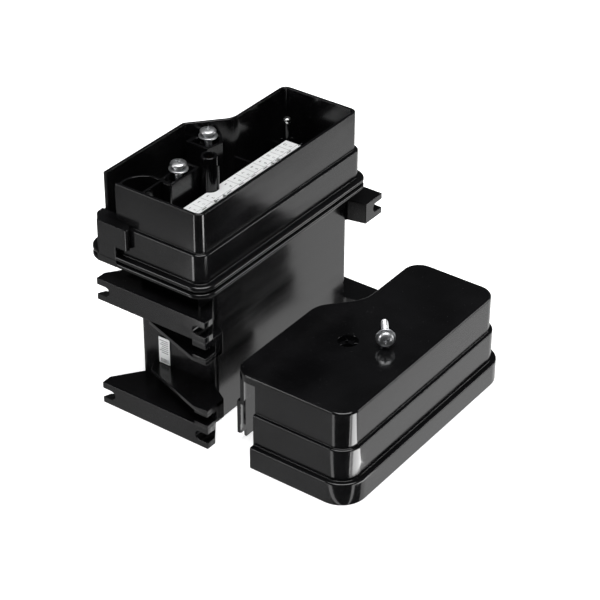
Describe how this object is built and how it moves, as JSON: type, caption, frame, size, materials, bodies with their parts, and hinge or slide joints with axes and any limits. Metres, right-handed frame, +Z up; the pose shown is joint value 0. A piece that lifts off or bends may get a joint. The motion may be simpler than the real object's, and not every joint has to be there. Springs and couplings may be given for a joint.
{
  "type": "terminal enclosure",
  "caption": "Lug-mounted two-part plastic terminal enclosure with an open terminal chamber and a lift-off cover lying beside it",
  "frame": {"origin": "centre of the base's bottom face, on the floor", "axes": "+X along the base's long side, +Y from the cover towards the base's back, +Z up"},
  "size_m": [0.1386, 0.1494, 0.117],
  "materials": {
    "housing_black": "gloss",
    "gasket_rubber": "matte",
    "deck_dark": "satin",
    "label_white": "satin",
    "tin_contact": "bright",
    "brass_insert": "satin",
    "zinc_steel": "bright zinc",
    "zinc_washer": "satin zinc",
    "board_green": "satin",
    "core_steel": "satin",
    "coil_potting": "satin",
    "relay_blue": "satin",
    "capacitor_sleeve": "satin",
    "film_case": "satin",
    "fuse_glass": "clear"
  },
  "bodies": {
    "base": {"lower_housing": "housing_black", "terminal_chamber": "housing_black", "flange_gasket": "gasket_rubber", "terminal_deck": "deck_dark", "label_strip": "label_white", "rating_label": "label_white", "contact_tab_1": "tin_contact", "contact_tab_2": "tin_contact", "contact_tab_3": "tin_contact", "contact_tab_4": "tin_contact", "post_pin": "tin_contact", "column_insert": "brass_insert", "clamp_nut_1": "zinc_steel", "clamp_nut_2": "zinc_steel", "circuit_board": "board_green", "board_rail_1": "deck_dark", "board_rail_2": "deck_dark", "transformer_core": "core_steel", "transformer_bobbin": "deck_dark", "output_coil": "coil_potting", "relay_1": "relay_blue", "relay_2": "relay_blue", "capacitor": "capacitor_sleeve", "film_capacitor": "film_case", "fuse": "fuse_glass", "fuse_clip_1": "tin_contact", "fuse_clip_2": "tin_contact", "header_body": "deck_dark", "header_pin_1": "tin_contact", "header_pin_2": "tin_contact", "header_pin_3": "tin_contact", "header_pin_4": "tin_contact"},
    "cover_body": {"cover": "housing_black"},
    "cover_screw_body": {"cover_screw": "zinc_steel"},
    "cover_washer_body": {"cover_screw_washer": "zinc_washer"},
    "washer_1_body": {"clamp_washer_1": "zinc_steel"},
    "screw_1_body": {"terminal_screw_1": "zinc_steel"},
    "washer_2_body": {"clamp_washer_2": "zinc_steel"},
    "screw_2_body": {"terminal_screw_2": "zinc_steel"}
  },
  "joints": [
    {"name": "cover_lift", "type": "slide", "parent": "base", "child": "cover_body", "axis": [0, 0, 1], "range_m": [0, 0.15]},
    {"name": "cover_screw_lift", "type": "slide", "parent": "cover_body", "child": "cover_screw_body", "axis": [0, 0, 1], "range_m": [0, 0.06]},
    {"name": "cover_washer_spin", "type": "hinge", "parent": "cover_screw_body", "child": "cover_washer_body", "pos_m": [-0.0111, -0.087, 0.0519], "axis": [0.8022, 0.5785, -0.1478], "continuous": true},
    {"name": "clamp_washer_1_lift", "type": "slide", "parent": "base", "child": "washer_1_body", "axis": [0, 0, 1], "range_m": [-0.0007, 0.0021]},
    {"name": "terminal_screw_1_turn", "type": "hinge", "parent": "washer_1_body", "child": "screw_1_body", "pos_m": [-0.029, 0.0155, 0.1136], "axis": [0, 0, 1], "range_deg": [-360.5, 1080.5]},
    {"name": "clamp_washer_2_lift", "type": "slide", "parent": "base", "child": "washer_2_body", "axis": [0, 0, 1], "range_m": [-0.0007, 0.0021]},
    {"name": "terminal_screw_2_turn", "type": "hinge", "parent": "washer_2_body", "child": "screw_2_body", "pos_m": [0.003, 0.0236, 0.1136], "axis": [0, 0, 1], "range_deg": [-360.5, 1080.5]}
  ],
  "couplings": [
    {"joint": "terminal_screw_1_turn", "follows": "clamp_washer_1_lift", "rad_per_m": 8976},
    {"joint": "terminal_screw_2_turn", "follows": "clamp_washer_2_lift", "rad_per_m": 8976}
  ]
}
